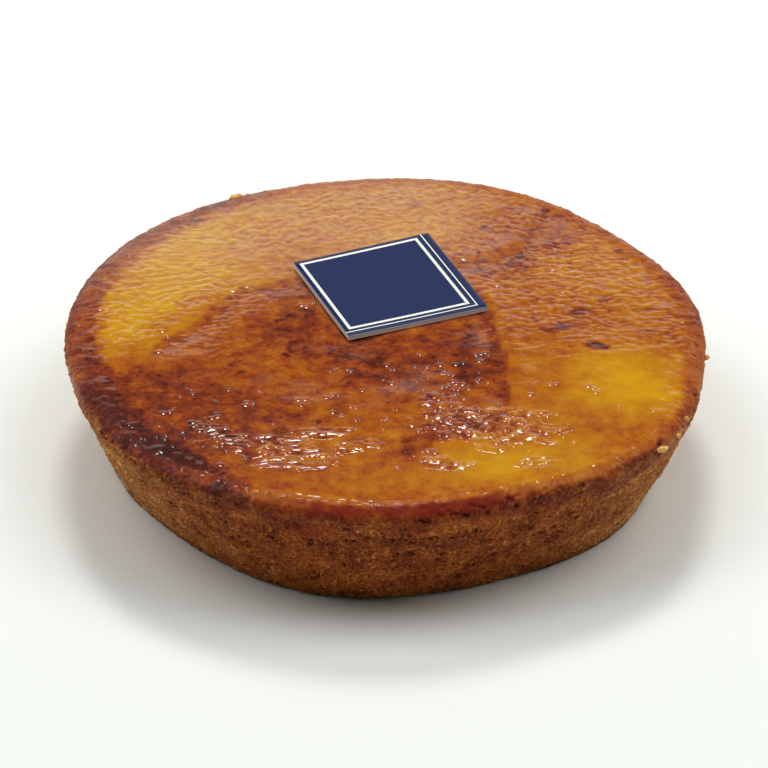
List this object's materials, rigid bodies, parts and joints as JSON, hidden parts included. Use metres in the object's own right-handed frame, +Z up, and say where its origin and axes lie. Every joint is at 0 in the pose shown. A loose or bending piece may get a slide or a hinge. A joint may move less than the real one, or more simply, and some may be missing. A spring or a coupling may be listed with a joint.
{
  "type": "orange tartlet",
  "caption": "Round single-portion tartlet: sloping shortcrust cup filled level with glazed, caramelised orange custard, with a small blank square card lying on top.",
  "frame": {"origin": "centre of the flat base, on the surface that the tartlet stands on", "axes": "+Z up through the middle of the tartlet; the pictured front faces -Y, the card lies towards +Y"},
  "size_m": [0.0971, 0.0984, 0.0225],
  "materials": {
    "shortcrust": "dry, crumbly, baked",
    "caramelised_custard": "glossy syrup glaze over a browned skin",
    "coated_card": "smooth coated print, white core"
  },
  "bodies": {
    "root": {"crust": "shortcrust", "custard": "caramelised_custard", "label_card": "coated_card"}
  },
  "joints": []
}
